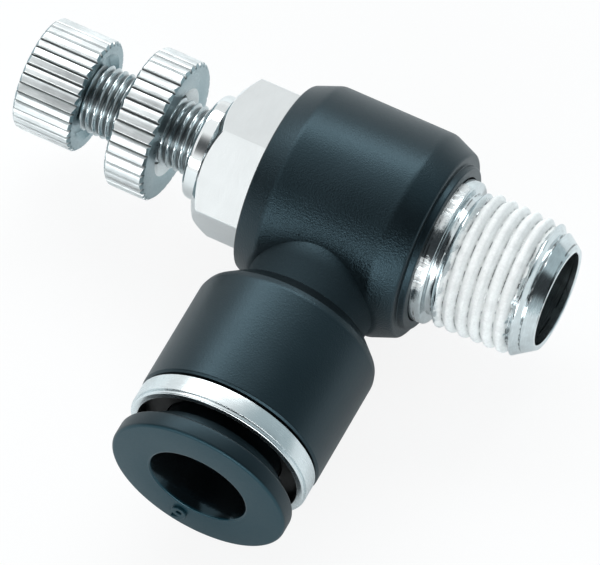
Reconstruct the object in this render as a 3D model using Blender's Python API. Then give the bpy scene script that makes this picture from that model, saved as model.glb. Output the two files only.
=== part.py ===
# Push-in elbow flow control valve for a 6 mm tube, with a 1/8 inch taper thread.
# The valve axis runs along X, with the end of the thread at the origin and the
# knob towards -X. The tube port points along -Y. Sizes are in metres.

import math

import bmesh
import bpy
from mathutils import Vector

MM = 0.001

# Main sizes: knob end to thread end, and valve axis to the face of the release ring
VALVE_LENGTH = 38.5 * MM
PORT_REACH = 23.16 * MM

# Clearances
RUN_CLEARANCE = 0.10 * MM
SEAT_CLEARANCE = 0.10 * MM
SEAL_CLEARANCE = 0.08 * MM
STOP_CLEARANCE = 0.30 * MM

# Travels
NEEDLE_CLOSING_TRAVEL = 2.5 * MM
NEEDLE_OPENING_TRAVEL = 1.5 * MM
RELEASE_TRAVEL = 1.1 * MM

# Adjusting needle and knob
NEEDLE_THREAD_RADIUS = 2.4 * MM
NEEDLE_THREAD_PITCH = 0.5 * MM
NEEDLE_THREAD_DEPTH = 0.27 * MM
NEEDLE_LAND_STEP = 0.35 * MM
NEEDLE_LAND_LENGTH = 2.1 * MM
NEEDLE_RELIEF_LENGTH = 0.7 * MM
NEEDLE_RELIEF_DEPTH = 0.4 * MM
NEEDLE_ROD_RADIUS = 1.4 * MM
NEEDLE_TIP_RADIUS = 0.5 * MM
NEEDLE_CONE_LENGTH = 2.5 * MM
NEEDLE_SHANK_RADIUS = 1.6 * MM
NEEDLE_SHANK_LENGTH = 2.9 * MM
KNOB_RADIUS = 4.0 * MM
KNOB_LENGTH = 4.35 * MM
KNOB_RIDGES = 36
KNOB_CHAMFER = 0.3 * MM
KNOB_DISH_DEPTH = 0.45 * MM
KNOB_STANDOFF = 3.05 * MM

# Lock nut
NUT_RADIUS = 5.0 * MM
NUT_LENGTH = 2.95 * MM
NUT_RIDGES = 38
NUT_CHAMFER = 0.3 * MM
NUT_DISH_DEPTH = 0.5 * MM
NUT_STANDOFF = 2.2 * MM
DISH_MARGIN = 0.75 * MM
DISH_SLOPE = 0.35 * MM

# Knurl shared by the knob and the lock nut
KNURL_DEPTH = 0.26 * MM
KNURL_RIDGE_SHARE = 0.58

# Hexagon bushing that guides the needle
HEX_ACROSS_FLATS = 10.0 * MM
HEX_LENGTH = 3.95 * MM
HEX_TURN = math.radians(15)
HEX_CHAMFER = 0.75 * MM
HEX_FACE_INSET = 0.2 * MM
BOSS_RADIUS = 3.7 * MM
BOSS_LENGTH = 1.35 * MM
BOSS_ROUND = 0.25 * MM
BUSHING_THREAD_LENGTH = 2.65 * MM
BUSHING_WALL = 0.45 * MM
SPIGOT_MARGIN = 0.75 * MM

# Rings of rubber
CORD_DIAMETER = 0.7 * MM
NEEDLE_CORD_DIAMETER = 0.6 * MM
GROOVE_SLACK = 0.25 * MM
CHECK_SEAL_LENGTH = 1.5 * MM
CHECK_SEAL_START = 0.9 * MM
CHECK_LIP_THICKNESS = 0.32 * MM
CHECK_HEEL_LENGTH = 0.6 * MM

# Threaded stem
STEM_WALL = 0.4 * MM
STEM_CORE_DROP = 0.6 * MM
STEM_BORE_RADIUS = 3.3 * MM
SEAT_RADIUS = 1.5 * MM
SEAT_START = 1.0 * MM
SEAT_LENGTH = 0.9 * MM
SEAT_FLARE = 0.75 * MM
SHOULDER_THICKNESS = 0.35 * MM
LOWER_LAND_LENGTH = 1.5 * MM
UPPER_WINDOW_RADIUS = 0.9 * MM
UPPER_WINDOW_STATION = -1.3 * MM
LOWER_WINDOW_RADIUS = 0.65 * MM
LOWER_WINDOW_STATION = 3.25 * MM
WINDOW_COUNT = 4
COLLAR_RADIUS = 5.05 * MM
COLLAR_LENGTH = 1.3 * MM
COLLAR_SINK = 0.6 * MM
COLLAR_EDGE = 0.12 * MM
THREAD_RELIEF_LENGTH = 0.45 * MM
THREAD_RELIEF_RADIUS = 4.3 * MM
THREAD_START_RADIUS = 4.85 * MM
THREAD_PITCH = 0.907 * MM
THREAD_DEPTH = 0.5 * MM
THREAD_TAPER = 1 / 32
THREAD_LEAD_SHARE = 0.028
THREAD_CHAMFER_SHARE = 0.175
THREAD_RIM = 0.34 * MM

# Elbow body
BORE_STEP = 0.4 * MM
UPPER_BORE_LENGTH = 2.55 * MM
BARREL_WALL = 2.22 * MM
BARREL_HEX_SIDE = 6.05 * MM
BARREL_THREAD_SIDE = 5.65 * MM
BARREL_TAPER_LENGTH = 1.8 * MM
BARREL_TAPER_DROP = 0.72 * MM
BARREL_TAPER_ROUND = 0.9 * MM
BARREL_EDGE_ROUND = 0.3 * MM
FOOT_LIP_HEIGHT = 0.45 * MM
FOOT_LIP_WALL = 0.65 * MM
NECK_RADIUS = 4.4 * MM
NECK_ROOT_SHARE = 0.12
PASSAGE_RADIUS = 2.2 * MM
SLEEVE_WALL = 1.25 * MM
SLEEVE_SHOULDER = 1.0 * MM
SLEEVE_EDGE = 0.15 * MM
STOP_WALL = 1.3 * MM

# Tube socket: seal, spacer, grip ring, guide ring and release ring
TUBE_RADIUS = 3.0 * MM
TUBE_CLEARANCE = 0.12 * MM
PILOT_LENGTH = 1.4 * MM
TUBE_SEAL_LENGTH = 2.0 * MM
TUBE_SEAL_SQUEEZE = 0.05 * MM
TUBE_SEAL_LIP = 0.6 * MM
SPACER_LENGTH = 0.8 * MM
SPACER_WALL = 0.7 * MM
GRIP_THICKNESS = 0.3 * MM
GRIP_RIM_WIDTH = 0.8 * MM
GRIP_TOOTH_DROP = 0.55 * MM
GRIP_TEETH = 10
GRIP_SLOT_WIDTH = 0.6 * MM
RELEASE_WALL = 1.0 * MM
RELEASE_LIP = 0.45 * MM
RELEASE_LIP_LENGTH = 0.6 * MM
RELEASE_NECK_STEP = 1.0 * MM
FLANGE_THICKNESS = 1.28 * MM
FLANGE_INSET = 0.12 * MM
FLANGE_ROUND = 0.22 * MM
MOUTH_CHAMFER = 0.4 * MM
UNDERCUT_WALL = 0.45 * MM
GUIDE_BEARING_LENGTH = 2.2 * MM
RING_LENGTH = 1.5 * MM
RING_RECESS = 1.0 * MM
RING_RIM = 0.5 * MM
RING_BEAD_LENGTH = 0.28 * MM
RING_BEAD_DROP = 0.14 * MM
RING_GAP = 0.22 * MM
RING_INSET = 0.05 * MM

# Facets around each kind of round piece
BODY_FACETS = 48
METAL_FACETS = 36
HEX_FACETS = 24
STEM_FACETS = 26
NEEDLE_FACETS = 15
INNER_FACETS = 26
SEAL_FACETS = 18
CORD_FACETS = 6
DRILL_FACETS = 12

# Radii along the valve axis, from the needle outwards
NEEDLE_LAND_RADIUS = NEEDLE_THREAD_RADIUS + NEEDLE_LAND_STEP
NEEDLE_BORE_RADIUS = NEEDLE_LAND_RADIUS + RUN_CLEARANCE
THREAD_BORE_RADIUS = NEEDLE_THREAD_RADIUS + RUN_CLEARANCE
SPIGOT_RADIUS = NEEDLE_BORE_RADIUS + BUSHING_WALL
SOCKET_RADIUS = SPIGOT_RADIUS + SEAT_CLEARANCE
UPPER_GROOVE_RADIUS = SOCKET_RADIUS + STEM_WALL
UPPER_BORE_RADIUS = UPPER_GROOVE_RADIUS + CORD_DIAMETER + 2 * SEAL_CLEARANCE
UPPER_LAND_RADIUS = UPPER_BORE_RADIUS - RUN_CLEARANCE
MAIN_BORE_RADIUS = UPPER_BORE_RADIUS + BORE_STEP
LOWER_LAND_RADIUS = MAIN_BORE_RADIUS - RUN_CLEARANCE
LOWER_GROOVE_RADIUS = MAIN_BORE_RADIUS - CORD_DIAMETER - 2 * SEAL_CLEARANCE
CORE_RADIUS = UPPER_LAND_RADIUS - STEM_CORE_DROP
BARREL_RADIUS = MAIN_BORE_RADIUS + BARREL_WALL
BARREL_END_RADIUS = BARREL_RADIUS - BARREL_TAPER_DROP
COLLAR_RECESS_RADIUS = COLLAR_RADIUS + RUN_CLEARANCE
FOOT_LIP_RADIUS = COLLAR_RECESS_RADIUS + FOOT_LIP_WALL
NEEDLE_GROOVE_RADIUS = NEEDLE_BORE_RADIUS - NEEDLE_CORD_DIAMETER - 2 * SEAL_CLEARANCE

# Stations along the valve axis, from the centre of the port
HEX_SEAT = -BARREL_HEX_SIDE - SEAT_CLEARANCE
HEX_END = HEX_SEAT - HEX_LENGTH
BOSS_END = HEX_END - BOSS_LENGTH
NUT_FACE = BOSS_END - NUT_STANDOFF
NUT_BACK = NUT_FACE - NUT_LENGTH
KNOB_FACE = NUT_BACK - KNOB_STANDOFF
KNOB_BACK = KNOB_FACE - KNOB_LENGTH
KNOB_DISH_FLOOR = KNOB_FACE - KNOB_DISH_DEPTH
BUSHING_SHOULDER = BOSS_END + BUSHING_THREAD_LENGTH
LAND_TOP = BUSHING_SHOULDER + NEEDLE_OPENING_TRAVEL + STOP_CLEARANCE
LAND_END = LAND_TOP + NEEDLE_LAND_LENGTH
NEEDLE_RING_STATION = (LAND_TOP + LAND_END) / 2
SPIGOT_END = NEEDLE_RING_STATION + NEEDLE_CLOSING_TRAVEL + SPIGOT_MARGIN
SOCKET_FLOOR = SPIGOT_END + SEAT_CLEARANCE
BORE_STEP_STATION = UPPER_BORE_LENGTH - BARREL_HEX_SIDE
UPPER_LAND_END = BORE_STEP_STATION - SEAT_CLEARANCE
UPPER_RING_STATION = (UPPER_LAND_END - BARREL_HEX_SIDE) / 2
CHECK_SEAL_END = CHECK_SEAL_START + CHECK_SEAL_LENGTH
BARREL_FOOT = BARREL_THREAD_SIDE + FOOT_LIP_HEIGHT
COLLAR_SEAT = BARREL_FOOT - COLLAR_SINK
COLLAR_START = COLLAR_SEAT + SEAT_CLEARANCE
COLLAR_END = COLLAR_START + COLLAR_LENGTH
LOWER_LAND_START = COLLAR_START - LOWER_LAND_LENGTH
LOWER_RING_STATION = (LOWER_LAND_START + COLLAR_START) / 2
THREAD_START = COLLAR_END + THREAD_RELIEF_LENGTH
THREAD_END = KNOB_BACK + VALVE_LENGTH
THREAD_LENGTH = THREAD_END - THREAD_START
CONE_START = SEAT_START - NEEDLE_CLOSING_TRAVEL
CONE_END = CONE_START + NEEDLE_CONE_LENGTH

# Radii in the tube port, from the tube outwards
RELEASE_BORE_RADIUS = TUBE_RADIUS + TUBE_CLEARANCE
RELEASE_SKIRT_RADIUS = RELEASE_BORE_RADIUS + RELEASE_WALL
GUIDE_BORE_RADIUS = RELEASE_SKIRT_RADIUS + RUN_CLEARANCE
RELEASE_LIP_RADIUS = RELEASE_SKIRT_RADIUS + RELEASE_LIP
UNDERCUT_RADIUS = RELEASE_LIP_RADIUS + RUN_CLEARANCE
GUIDE_RADIUS = UNDERCUT_RADIUS + UNDERCUT_WALL
GLAND_RADIUS = GUIDE_RADIUS + SEAT_CLEARANCE
SLEEVE_RADIUS = GLAND_RADIUS + SLEEVE_WALL
RING_RADIUS = SLEEVE_RADIUS - RING_INSET
RING_RECESS_RADIUS = RING_RADIUS - RING_BEAD_DROP - RING_RIM
FLANGE_RADIUS = RING_RADIUS - FLANGE_INSET
GRIP_RIM_RADIUS = GUIDE_RADIUS - GRIP_RIM_WIDTH

# Stations along the tube port, from the face of the release ring inwards
FLANGE_START = PORT_REACH - FLANGE_THICKNESS
RING_END = FLANGE_START - RELEASE_TRAVEL - STOP_CLEARANCE
RING_START = RING_END - RING_LENGTH
SLEEVE_END = RING_START - RING_GAP
RECESS_FLOOR = RING_END - RING_RECESS
UNDERCUT_END = RECESS_FLOOR - GUIDE_BEARING_LENGTH
LIP_SHOULDER = UNDERCUT_END - SEAT_CLEARANCE
RELEASE_START = LIP_SHOULDER - RELEASE_LIP_LENGTH
GUIDE_START = RELEASE_START - RELEASE_TRAVEL
GRIP_END = GUIDE_START - SEAT_CLEARANCE
GRIP_START = GRIP_END - GRIP_THICKNESS
SPACER_END = GRIP_START - SEAT_CLEARANCE
SPACER_START = SPACER_END - SPACER_LENGTH
TUBE_SEAL_END = SPACER_START - SEAT_CLEARANCE
TUBE_SEAL_START = TUBE_SEAL_END - TUBE_SEAL_LENGTH
GLAND_FLOOR = TUBE_SEAL_START - SEAT_CLEARANCE
TUBE_STOP = GLAND_FLOOR - PILOT_LENGTH
SLEEVE_START = TUBE_STOP - STOP_WALL

# Each axis is a direction and the spoke where a turned outline is drawn
VALVE_AXIS = (Vector((1, 0, 0)), Vector((0, 1, 0)))
PORT_AXIS = (Vector((0, -1, 0)), Vector((0, 0, 1)))
MERGE_DISTANCE = 0.0005 * MM
OVERSHOOT = 1.0 * MM
SMOOTH_ANGLE = math.radians(32)


def clear_scene():
    for item in list(bpy.data.objects):
        bpy.data.objects.remove(item, do_unlink=True)


def make_centre():
    """The crossing of the valve axis and the port axis carries every piece."""
    centre = bpy.data.objects.new("valve_centre", None)
    centre.location = (-THREAD_END, 0, 0)
    bpy.context.scene.collection.objects.link(centre)
    return centre


def make_finish(name, colour, roughness, metallic):
    finish = bpy.data.materials.new(name)
    finish.use_nodes = True
    shader = finish.node_tree.nodes["Principled BSDF"]
    shader.inputs["Base Color"].default_value = (*colour, 1)
    shader.inputs["Roughness"].default_value = roughness
    shader.inputs["Metallic"].default_value = metallic
    return finish


def nickel(name):
    return make_finish(name + "_nickel", (0.72, 0.76, 0.77), 0.18, 1.0)


def black_plastic(name):
    return make_finish(name + "_black", (0.028, 0.032, 0.035), 0.45, 0.0)


def rubber(name):
    return make_finish(name + "_rubber", (0.02, 0.02, 0.02), 0.75, 0.0)


def add_object(name, bm, centre):
    bmesh.ops.remove_doubles(bm, verts=bm.verts, dist=MERGE_DISTANCE)
    bmesh.ops.recalc_face_normals(bm, faces=bm.faces)
    mesh = bpy.data.meshes.new(name)
    bm.to_mesh(mesh)
    bm.free()
    mesh.shade_smooth()
    mesh.set_sharp_from_angle(angle=SMOOTH_ANGLE)
    item = bpy.data.objects.new(name, mesh)
    item.parent = centre
    bpy.context.scene.collection.objects.link(item)
    return item


def rounded(outline, steps=3):
    """Turns each corner (station, radius, fillet) of a closed outline into an arc."""
    points = []
    for index, corner in enumerate(outline):
        here = Vector(corner[:2])
        if len(corner) == 2:
            points.append(here)
            continue
        back = Vector(outline[index - 1][:2]) - here
        ahead = Vector(outline[(index + 1) % len(outline)][:2]) - here
        half = back.angle(ahead) / 2
        reach = min(corner[2] / math.tan(half), 0.45 * min(back.length, ahead.length))
        middle = (back.normalized() + ahead.normalized()).normalized()
        centre = here + middle * (reach / math.cos(half))
        start = here + back.normalized() * reach - centre
        end = here + ahead.normalized() * reach - centre
        first = math.atan2(start.y, start.x)
        turn = (math.atan2(end.y, end.x) - first + math.pi) % math.tau - math.pi
        for step in range(steps + 1):
            angle = first + turn * step / steps
            points.append(centre + start.length * Vector((math.cos(angle), math.sin(angle))))
    return points


def lathe(name, outline, axis, facets, centre, steps=3):
    """Spins a closed outline of (station, radius) corners about an axis."""
    along, spoke = axis
    bm = bmesh.new()
    points = rounded(outline, steps)
    ring = [bm.verts.new(along * p.x + spoke * p.y) for p in points]
    edges = []
    for index, point in enumerate(points):
        following = (index + 1) % len(points)
        if point.y > 0 or points[following].y > 0:
            edges.append(bm.edges.new((ring[index], ring[following])))
    bmesh.ops.spin(bm, geom=ring + edges, cent=(0, 0, 0), axis=along,
                   angle=math.tau, steps=facets, use_merge=True)
    return add_object(name, bm, centre)


def threaded_lathe(name, before, after, pitch, depth, axis, facets, centre):
    """Spins two open lines of (station, radius) corners with a helical V groove between.

    The groove runs right-handed from the last corner of the first line to the first
    corner of the second, and its crest is one helix that joins the two rings there.
    """
    along, spoke = axis
    side = along.cross(spoke)
    bm = bmesh.new()

    def vertex(station, radius, step):
        turn = math.tau * step / facets
        return bm.verts.new(along * station + (spoke * math.cos(turn) + side * math.sin(turn)) * radius)

    def patch(*corners):
        bm.faces.new(dict.fromkeys(corners))

    def line(corners):
        rings = [[vertex(*corner, step) for step in range(facets)] for corner in corners]
        for low, high in zip(rings, rings[1:]):
            for step in range(facets):
                patch(low[step - 1], low[step], high[step], high[step - 1])
        return rings

    first_rings, last_rings = line(before), line(after)
    if before[0][1] > 0:
        for low, high, step in zip(last_rings[-1], first_rings[0], range(facets)):
            patch(last_rings[-1][step - 1], low, high, first_rings[0][step - 1])
    first, last = first_rings[-1], last_rings[0]
    start, start_radius = before[-1]
    end, end_radius = after[0]
    slope = (end_radius - start_radius) / (end - start)
    steps = round((end - start) / pitch * facets)
    grooved = steps - facets

    def on_helix(step, shift, drop):
        travel = pitch * (step / facets + shift)
        return vertex(start + travel, start_radius + slope * travel - drop, step)

    crest = [first[0]] + [on_helix(step, 0, 0) for step in range(1, steps)] + [last[steps % facets]]
    root = [on_helix(step, 0.5, depth) for step in range(grooved + 1)]
    for step in range(facets):
        patch(first[step], first[(step + 1) % facets], crest[step + 1], crest[step])
    for step in range(grooved):
        patch(crest[step], crest[step + 1], root[step + 1], root[step])
        patch(root[step], root[step + 1], crest[step + 1 + facets], crest[step + facets])
    for step in range(grooved, steps):
        patch(crest[step], crest[step + 1], last[(step + 1) % facets], last[step % facets])
    patch(crest[0], root[0], crest[facets])
    patch(crest[grooved], root[grooved], crest[steps])
    return add_object(name, bm, centre)


def prism(name, corners, start, end, centre):
    """Extrudes an outline of (y, z) corners along the valve axis."""
    bm = bmesh.new()
    base = [bm.verts.new((start, y, z)) for y, z in corners]
    face = bm.faces.new(base)
    grown = bmesh.ops.extrude_face_region(bm, geom=[face])
    tips = [item for item in grown["geom"] if isinstance(item, bmesh.types.BMVert)]
    bmesh.ops.translate(bm, verts=tips, vec=(end - start, 0, 0))
    return add_object(name, bm, centre)


def as_tool(item):
    item.hide_render = True
    item.display_type = "WIRE"
    return item


def combine(item, tool, operation):
    step = item.modifiers.new(tool.name, "BOOLEAN")
    step.operation = operation
    step.solver = "EXACT"
    step.object = as_tool(tool)


def dress(item, finish):
    item.data.materials.append(finish)
    return item


def cord_ring(name, station, inner, outer, centre):
    """A ring of round rubber cord between two radii about the valve axis."""
    half = (outer - inner) / 2
    middle = (outer + inner) / 2
    outline = []
    for index in range(CORD_FACETS):
        angle = math.tau * (index + 0.5) / CORD_FACETS
        outline.append((station + half * math.cos(angle), middle + half * math.sin(angle)))
    return dress(lathe(name, outline, VALVE_AXIS, SEAL_FACETS, centre), rubber(name))


def radial_drills(name, station, radius, inner, outer, centre):
    """Round cutters that stand out from the valve axis like spokes."""
    bm = bmesh.new()
    for index in range(WINDOW_COUNT):
        turn = math.tau * (index + 0.5) / WINDOW_COUNT
        spoke = Vector((0, math.cos(turn), math.sin(turn)))
        cylinder = bmesh.ops.create_cone(bm, cap_ends=True, segments=DRILL_FACETS,
                                         radius1=radius, radius2=radius, depth=outer - inner)
        rotation = spoke.to_track_quat("Z", "Y").to_matrix()
        bmesh.ops.rotate(bm, verts=cylinder["verts"], matrix=rotation)
        place = spoke * (inner + outer) / 2 + Vector((station, 0, 0))
        bmesh.ops.translate(bm, verts=cylinder["verts"], vec=place)
    return add_object(name, bm, centre)


def knurl_prism(name, radius, ridges, start, end, centre):
    """A straight knurl: flat-topped ridges with a sharp groove after each."""
    corners = []
    pitch = math.tau / ridges
    for index in range(ridges):
        for share, reach in ((-KNURL_RIDGE_SHARE / 2, radius), (KNURL_RIDGE_SHARE / 2, radius),
                             (0.5, radius - KNURL_DEPTH)):
            angle = pitch * (index + share)
            corners.append((reach * math.cos(angle), reach * math.sin(angle)))
    return prism(name, corners, start, end, centre)


def make_needle(centre):
    shank_end = KNOB_DISH_FLOOR - NEEDLE_SHANK_LENGTH + SEAT_CLEARANCE
    thread_start = KNOB_DISH_FLOOR + SEAT_CLEARANCE
    thread_end = LAND_TOP - NEEDLE_RELIEF_LENGTH
    relief = NEEDLE_THREAD_RADIUS - NEEDLE_RELIEF_DEPTH
    groove = NEEDLE_CORD_DIAMETER / 2 + GROOVE_SLACK
    before = [
        (shank_end, 0),
        (shank_end, NEEDLE_SHANK_RADIUS),
        (thread_start, NEEDLE_SHANK_RADIUS),
        (thread_start, NEEDLE_THREAD_RADIUS),
    ]
    after = [
        (thread_end, NEEDLE_THREAD_RADIUS),
        (thread_end, relief),
        (LAND_TOP, relief),
        (LAND_TOP, NEEDLE_LAND_RADIUS),
        (NEEDLE_RING_STATION - groove, NEEDLE_LAND_RADIUS),
        (NEEDLE_RING_STATION - groove, NEEDLE_GROOVE_RADIUS),
        (NEEDLE_RING_STATION + groove, NEEDLE_GROOVE_RADIUS),
        (NEEDLE_RING_STATION + groove, NEEDLE_LAND_RADIUS),
        (LAND_END, NEEDLE_LAND_RADIUS),
        (LAND_END, NEEDLE_ROD_RADIUS),
        (CONE_START, NEEDLE_ROD_RADIUS),
        (CONE_END, NEEDLE_TIP_RADIUS),
        (CONE_END, 0),
    ]
    needle = threaded_lathe("needle", before, after, NEEDLE_THREAD_PITCH, NEEDLE_THREAD_DEPTH,
                            VALVE_AXIS, NEEDLE_FACETS, centre)
    dress(needle, nickel("needle"))
    cord_ring("needle_o_ring", NEEDLE_RING_STATION, NEEDLE_GROOVE_RADIUS + SEAL_CLEARANCE,
              NEEDLE_BORE_RADIUS - SEAL_CLEARANCE, centre)


def make_knob(centre):
    dish = NEEDLE_THREAD_RADIUS + DISH_MARGIN
    bore = NEEDLE_SHANK_RADIUS + SEAT_CLEARANCE
    bore_end = KNOB_DISH_FLOOR - NEEDLE_SHANK_LENGTH
    blank = KNOB_RADIUS + OVERSHOOT
    flank = KNOB_CHAMFER + OVERSHOOT
    outline = [
        (KNOB_BACK, 0),
        (KNOB_BACK, KNOB_RADIUS - KNOB_CHAMFER),
        (KNOB_BACK + flank, blank),
        (KNOB_FACE - flank, blank),
        (KNOB_FACE, KNOB_RADIUS - KNOB_CHAMFER),
        (KNOB_FACE, dish),
        (KNOB_DISH_FLOOR, dish - DISH_SLOPE),
        (KNOB_DISH_FLOOR, bore),
        (bore_end, bore),
        (bore_end, 0),
    ]
    knob = lathe("knob", outline, VALVE_AXIS, KNOB_RIDGES, centre)
    knurl = knurl_prism("knob_knurl", KNOB_RADIUS, KNOB_RIDGES, KNOB_BACK - OVERSHOOT,
                        KNOB_FACE + OVERSHOOT, centre)
    combine(knob, knurl, "INTERSECT")
    dress(knob, nickel("knob"))


def make_lock_nut(centre):
    bore = THREAD_BORE_RADIUS
    dish = NEEDLE_THREAD_RADIUS + DISH_MARGIN
    blank = NUT_RADIUS + OVERSHOOT
    flank = NUT_CHAMFER + OVERSHOOT
    outline = [
        (NUT_BACK + NUT_DISH_DEPTH, bore),
        (NUT_BACK, dish),
        (NUT_BACK, NUT_RADIUS - NUT_CHAMFER),
        (NUT_BACK + flank, blank),
        (NUT_FACE - flank, blank),
        (NUT_FACE, NUT_RADIUS - NUT_CHAMFER),
        (NUT_FACE, dish),
        (NUT_FACE - NUT_DISH_DEPTH, bore),
    ]
    nut = lathe("lock_nut", outline, VALVE_AXIS, NUT_RIDGES, centre)
    knurl = knurl_prism("nut_knurl", NUT_RADIUS, NUT_RIDGES, NUT_BACK - OVERSHOOT,
                        NUT_FACE + OVERSHOOT, centre)
    combine(nut, knurl, "INTERSECT")
    dress(nut, nickel("lock_nut"))


def make_hex_bushing(centre):
    corner_radius = HEX_ACROSS_FLATS / 2 / math.cos(math.pi / 6)
    face_radius = HEX_ACROSS_FLATS / 2 - HEX_FACE_INSET
    corners = []
    for index in range(6):
        angle = HEX_TURN + math.pi / 6 + index * math.pi / 3
        corners.append((corner_radius * math.cos(angle), corner_radius * math.sin(angle)))
    wide = corner_radius + OVERSHOOT
    slope = HEX_CHAMFER / (corner_radius - face_radius)
    outline = [
        (BUSHING_SHOULDER, THREAD_BORE_RADIUS),
        (BOSS_END, THREAD_BORE_RADIUS),
        (BOSS_END, BOSS_RADIUS, BOSS_ROUND),
        (HEX_END, BOSS_RADIUS),
        (HEX_END, face_radius),
        (HEX_END + slope * (wide - face_radius), wide),
        (HEX_SEAT, wide),
        (HEX_SEAT, SPIGOT_RADIUS),
        (SPIGOT_END, SPIGOT_RADIUS),
        (SPIGOT_END, NEEDLE_BORE_RADIUS),
        (BUSHING_SHOULDER, NEEDLE_BORE_RADIUS),
    ]
    bushing = lathe("hex_bushing", outline, VALVE_AXIS, HEX_FACETS, centre)
    flats = prism("hex_flats", corners, BOSS_END - OVERSHOOT, SPIGOT_END + OVERSHOOT, centre)
    combine(bushing, flats, "INTERSECT")
    dress(bushing, nickel("hex_bushing"))


def make_stem(centre):
    groove = CORD_DIAMETER / 2 + GROOVE_SLACK
    lead_end = THREAD_START + THREAD_LEAD_SHARE * THREAD_LENGTH
    chamfer_start = THREAD_END - THREAD_CHAMFER_SHARE * THREAD_LENGTH
    thread_end_radius = THREAD_START_RADIUS - (chamfer_start - THREAD_START) * THREAD_TAPER
    bore_start = SEAT_START + SEAT_LENGTH + SEAT_FLARE
    shoulder_start = CHECK_SEAL_START - SEAL_CLEARANCE
    seal_seat = CORE_RADIUS - SHOULDER_THICKNESS
    seal_end = CHECK_SEAL_END + SEAL_CLEARANCE
    before = [
        (-BARREL_HEX_SIDE, SOCKET_RADIUS),
        (-BARREL_HEX_SIDE, UPPER_LAND_RADIUS),
        (UPPER_RING_STATION - groove, UPPER_LAND_RADIUS),
        (UPPER_RING_STATION - groove, UPPER_GROOVE_RADIUS),
        (UPPER_RING_STATION + groove, UPPER_GROOVE_RADIUS),
        (UPPER_RING_STATION + groove, UPPER_LAND_RADIUS),
        (UPPER_LAND_END, UPPER_LAND_RADIUS),
        (UPPER_LAND_END, CORE_RADIUS),
        (shoulder_start - SHOULDER_THICKNESS, CORE_RADIUS),
        (shoulder_start - SHOULDER_THICKNESS, UPPER_LAND_RADIUS),
        (shoulder_start, UPPER_LAND_RADIUS),
        (shoulder_start, seal_seat),
        (seal_end, seal_seat),
        (seal_end, CORE_RADIUS),
        (LOWER_LAND_START, CORE_RADIUS),
        (LOWER_LAND_START, LOWER_LAND_RADIUS),
        (LOWER_RING_STATION - groove, LOWER_LAND_RADIUS),
        (LOWER_RING_STATION - groove, LOWER_GROOVE_RADIUS),
        (LOWER_RING_STATION + groove, LOWER_GROOVE_RADIUS),
        (LOWER_RING_STATION + groove, LOWER_LAND_RADIUS),
        (COLLAR_START, LOWER_LAND_RADIUS),
        (COLLAR_START, COLLAR_RADIUS),
        (COLLAR_END - COLLAR_EDGE, COLLAR_RADIUS),
        (COLLAR_END, COLLAR_RADIUS - COLLAR_EDGE),
        (COLLAR_END, THREAD_RELIEF_RADIUS),
        (THREAD_START, THREAD_RELIEF_RADIUS),
        (lead_end, THREAD_START_RADIUS),
    ]
    after = [
        (chamfer_start, thread_end_radius),
        (THREAD_END, STEM_BORE_RADIUS + THREAD_RIM),
        (THREAD_END, STEM_BORE_RADIUS),
        (bore_start, STEM_BORE_RADIUS),
        (SEAT_START + SEAT_LENGTH, SEAT_RADIUS),
        (SEAT_START, SEAT_RADIUS),
        (SEAT_START - SEAT_FLARE, NEEDLE_BORE_RADIUS),
        (SOCKET_FLOOR, NEEDLE_BORE_RADIUS),
        (SOCKET_FLOOR, SOCKET_RADIUS),
    ]
    stem = threaded_lathe("threaded_stem", before, after, THREAD_PITCH, THREAD_DEPTH,
                          VALVE_AXIS, STEM_FACETS, centre)
    reach = CORE_RADIUS + OVERSHOOT
    upper = radial_drills("upper_windows", UPPER_WINDOW_STATION, UPPER_WINDOW_RADIUS,
                          UPPER_WINDOW_RADIUS * 2, reach, centre)
    lower = radial_drills("lower_windows", LOWER_WINDOW_STATION, LOWER_WINDOW_RADIUS,
                          LOWER_WINDOW_RADIUS * 2, reach, centre)
    combine(stem, upper, "DIFFERENCE")
    combine(stem, lower, "DIFFERENCE")
    dress(stem, nickel("threaded_stem"))
    cord_ring("upper_stem_o_ring", UPPER_RING_STATION, UPPER_GROOVE_RADIUS + SEAL_CLEARANCE,
              UPPER_BORE_RADIUS - SEAL_CLEARANCE, centre)
    cord_ring("lower_stem_o_ring", LOWER_RING_STATION, LOWER_GROOVE_RADIUS + SEAL_CLEARANCE,
              MAIN_BORE_RADIUS - SEAL_CLEARANCE, centre)
    make_check_seal(seal_seat, centre)


def make_check_seal(seat, centre):
    """A U-section lip seal; its outer lip leans out towards the thread end."""
    inner = seat + SEAL_CLEARANCE
    tip = MAIN_BORE_RADIUS - SEAL_CLEARANCE
    heel_end = CHECK_SEAL_START + CHECK_HEEL_LENGTH
    heel = (inner + tip) / 2 + CHECK_LIP_THICKNESS / 2
    outline = [
        (CHECK_SEAL_START, inner),
        (CHECK_SEAL_START, heel),
        (heel_end, heel),
        (CHECK_SEAL_END, tip),
        (CHECK_SEAL_END, tip - CHECK_LIP_THICKNESS),
        (heel_end, heel - CHECK_LIP_THICKNESS),
        (CHECK_SEAL_END, inner + CHECK_LIP_THICKNESS),
        (CHECK_SEAL_END, inner),
    ]
    dress(lathe("check_lip_seal", outline, VALVE_AXIS, SEAL_FACETS, centre),
          rubber("check_lip_seal"))


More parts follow.
